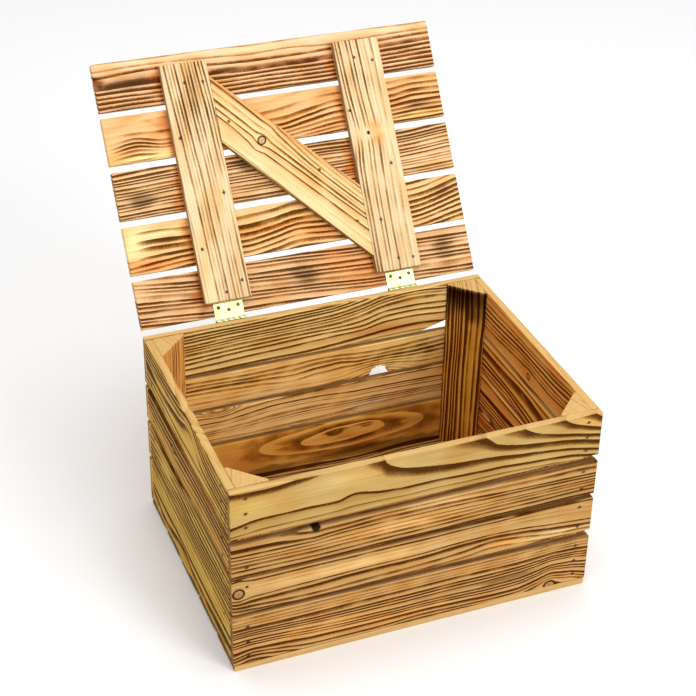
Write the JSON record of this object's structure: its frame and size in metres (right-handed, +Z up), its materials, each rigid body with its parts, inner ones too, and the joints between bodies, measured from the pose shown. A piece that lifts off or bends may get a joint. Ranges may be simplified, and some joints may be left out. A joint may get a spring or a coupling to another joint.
{
  "type": "storage box",
  "caption": "Open-slatted scorched softwood storage crate with triangular corner posts, a plank floor and a braced slatted lid on brass butt hinges.",
  "frame": {"origin": "centre of the crate's footprint, on the ground under the middle floor board", "axes": "+X to the right along the front, the front wall faces -Y, +Z up; the lid is hinged along X at the top of the back wall"},
  "size_m": [0.48, 0.5739, 0.5649],
  "materials": {
    "scorched_pine": "scorched and brushed, matt",
    "pale_pine": "sawn, lightly scorched, matt",
    "nail_steel": "dull, darkened",
    "hinge_brass": "bright brass plating"
  },
  "bodies": {
    "crate": {"front_slat_1": "scorched_pine", "front_slat_2": "scorched_pine", "front_slat_3": "scorched_pine", "front_slat_4": "scorched_pine", "back_slat_1": "scorched_pine", "back_slat_2": "scorched_pine", "back_slat_3": "scorched_pine", "back_slat_4": "scorched_pine", "left_slat_1": "scorched_pine", "left_slat_2": "scorched_pine", "left_slat_3": "scorched_pine", "left_slat_4": "scorched_pine", "right_slat_1": "scorched_pine", "right_slat_2": "scorched_pine", "right_slat_3": "scorched_pine", "right_slat_4": "scorched_pine", "corner_post_front_left": "scorched_pine", "corner_post_front_right": "scorched_pine", "corner_post_back_left": "scorched_pine", "corner_post_back_right": "scorched_pine", "floor_board_1": "scorched_pine", "floor_board_2": "scorched_pine", "floor_board_3": "scorched_pine", "floor_board_4": "scorched_pine", "floor_board_5": "scorched_pine", "wall_nails_front": "nail_steel", "wall_nails_back": "nail_steel", "wall_nails_left": "nail_steel", "wall_nails_right": "nail_steel", "floor_nails": "nail_steel", "hinge_left_crate_leaf": "hinge_brass", "hinge_left_pin": "hinge_brass", "hinge_right_crate_leaf": "hinge_brass", "hinge_right_pin": "hinge_brass", "hinge_crate_screws": "hinge_brass"},
    "lid": {"lid_slat_1": "scorched_pine", "lid_slat_2": "scorched_pine", "lid_slat_3": "scorched_pine", "lid_slat_4": "scorched_pine", "lid_slat_5": "scorched_pine", "lid_batten_left": "pale_pine", "lid_batten_right": "pale_pine", "lid_brace": "pale_pine", "lid_nails": "nail_steel", "hinge_left_lid_leaf": "hinge_brass", "hinge_right_lid_leaf": "hinge_brass", "hinge_lid_screws": "hinge_brass"}
  },
  "joints": [
    {"name": "lid_hinge", "type": "hinge", "parent": "crate", "child": "lid", "pos_m": [0, 0.1827, 0.269], "axis": [1, 0, 0], "range_deg": [0, 124]}
  ]
}
